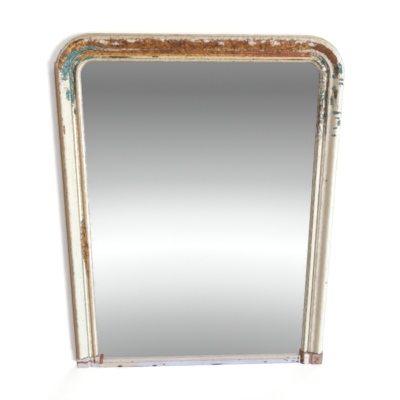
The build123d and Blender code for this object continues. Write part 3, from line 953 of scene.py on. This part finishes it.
def painted_edge(finish, spot, fibres, dust, colour):
    """Cream paint on the faces that lie on the outline of the frame, run a little over the back."""
    past_x = finish.math("MAXIMUM", finish.math("ABSOLUTE", spot.x) - spring_x, 0.0)
    past_z = finish.math("MAXIMUM", spot.z - spring_z, 0.0)
    outer = finish.math("SQRT", past_x * past_x + past_z * past_z) + dust * 0.6
    drips = finish.step(spot.depth + (dust - 0.5) * 14.0, 1.0, 3.5)
    edge = finish.step(outer, corner_radius - 0.9, corner_radius - 0.4) * drips
    cream = finish.lay(dust, tint(226, 214, 190), tint(196, 176, 142))
    cream = finish.lay(finish.step(fibres, 0.7, 0.8), cream, tint(120, 88, 58))
    return finish.lay(edge, colour, cream)


def pine(name, lengthwise, light, dark, board=None):
    """Pine with its grain along X (0) or Z (2): a back board by its number, or a part of the carcass."""
    finish = Finish(name)
    spot = Spot(finish)
    stretch = [1.0, 1.0, 1.0]
    stretch[lengthwise] = along_grain
    tree = (board or 0) * tree_shift
    flow = finish.node("ShaderNodeMapping", {},
                       {"Vector": spot.place, "Location": (tree, tree, tree), "Scale": stretch})
    rings = finish.mottle(flow, 46.0, 4.0, 0.6)
    fibres = finish.mottle(flow, 420.0, 4.0, 0.7)
    dust = finish.mottle(spot.place, 5.0, 6.0, 0.7)
    knot_place = finish.node("ShaderNodeMapping", {},
                             {"Vector": spot.place, "Location": (tree, 0, tree),
                              "Scale": [part * knots_per_metre for part in stretch]})
    cells = finish.node("ShaderNodeTexVoronoi", {"feature": "F1"},
                        {"Vector": knot_place, "Scale": 1.0}, "Distance")
    colour = finish.lay(rings, light, dark)
    colour = finish.lay(finish.step(fibres, 0.5, 0.9) * 0.45, colour, tint(86, 60, 38))
    colour = finish.lay(finish.fall(cells, 0.10, 0.16) * 0.85, colour, tint(70, 42, 24))
    colour = finish.lay(finish.step(dust, 0.4, 1.0) * 0.22, colour, tint(150, 136, 116))
    relief = (fibres - 0.5) * 0.0002 + (rings - 0.5) * 0.0002
    if board:
        low, high = [corner[2] * 1000 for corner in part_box(f"back_board_{board}")]
        half_board = (high - low) / 2
        # Darker near each board's top and bottom edge: painted shade in the gaps between boards
        from_middle = finish.math("ABSOLUTE", spot.z - (low + high) / 2)
        gap_shade = finish.step(from_middle + (dust - 0.5) * 6.0, half_board - gap_shade_width, half_board)
        colour = finish.lay(gap_shade * 0.8, colour, tint(52, 38, 26))
        blade = finish.node("ShaderNodeTexWave", {"bands_direction": "X"},
                            {"Vector": spot.place, "Scale": 90.0, "Distortion": 2.5, "Detail": 2.0}, "Fac")
        relief = relief + blade * 0.00025
        colour = finish.lay(blade * 0.12, colour, tint(60, 44, 30))
    else:
        colour = painted_edge(finish, spot, fibres, dust, colour)
    return finish.surface(colour, 0.7 + (fibres - 0.5) * 0.2, [(relief, 1.0)])


print("grain is stretched", round(1 / along_grain), "times along the board")

# %% Dress the carcass, the wedges and the boards
carcass_light, carcass_dark = tint(186, 148, 104), tint(142, 102, 64)
upright_pine = pine("raw_pine_upright", 2, carcass_light, carcass_dark)
level_pine = pine("raw_pine_level", 0, carcass_light, carcass_dark)
dress(upright_pine, ["carcass_left_stile", "carcass_right_stile", "glass_wedges"])
dress(level_pine, ["carcass_top_rail", "carcass_bottom_rail"])
board_shades = (4, -18, 12, -8, 16, -12)
for number, shade in enumerate(board_shades, 1):
    board_pine = pine(f"back_pine_{number}", 0, tint(172 + shade, 132 + shade, 90 + shade),
                      tint(122 + shade, 86 + shade, 54 + shade), number)
    dress(board_pine, [f"back_board_{number}"])
print("boards:", len(board_shades))

# %% [markdown]
# ## Pegs, nails and hangers
# A peg shows its end grain, which is pores rather than streaks. The metals share one recipe:
# bright where rubbed, dull elsewhere, with rust or tarnish in the pits.

# %% Dress the pegs and the metal
def oak_ends():
    finish = Finish("oak_end_grain")
    spot = Spot(finish)
    pores = finish.mottle(spot.place, 1400.0, 3.0, 0.7)
    cloud = finish.mottle(spot.place, 220.0, 3.0, 0.6)
    colour = finish.lay(cloud, tint(150, 112, 72), tint(112, 78, 46))
    colour = finish.lay(finish.step(pores, 0.6, 0.8) * 0.8, colour, tint(58, 38, 22))
    return finish.surface(colour, 0.65, [((pores - 0.5) * 0.0002, 1.0)])


def metal(name, bright, dull, stain, polish, worn_at):
    """Old metal; polish is its roughness where bright, and it stains where noise is above worn_at."""
    finish = Finish(name)
    spot = Spot(finish)
    cloud = finish.mottle(spot.place, 160.0, 5.0, 0.65)
    pits = finish.mottle(spot.place, 900.0, 4.0, 0.7)
    rust = finish.step(cloud + (pits - 0.5) * 0.5, worn_at, worn_at + 0.12)
    colour = finish.lay(pits, bright, dull)
    colour = finish.lay(rust, colour, finish.lay(pits, stain, dull))
    rough = polish + rust * 0.35 + (pits - 0.5) * 0.15
    relief = (pits - 0.5) * 0.00006 + rust * 0.00008
    return finish.surface(colour, rough, [(relief, 1.0)], Metallic=1 - rust * 0.75)


iron = metal("rusted_iron", tint(92, 78, 68), tint(64, 52, 46), tint(126, 70, 38), 0.55, 0.4)
steel = metal("dulled_steel", tint(188, 186, 182), tint(150, 147, 142), tint(120, 84, 54), 0.35, 0.74)
brass = metal("tarnished_brass", tint(206, 168, 92), tint(158, 122, 62), tint(104, 82, 46), 0.3, 0.6)
dress(oak_ends(), ["carcass_pegs"])
dress(iron, ["back_board_nails"])
for side_name in ("left", "right"):
    dress(steel, ["hanger_strap_" + side_name, "hanger_ring_" + side_name])
    dress(brass, ["hanger_screws_" + side_name])
print("metals:", iron.name, steel.name, brass.name)
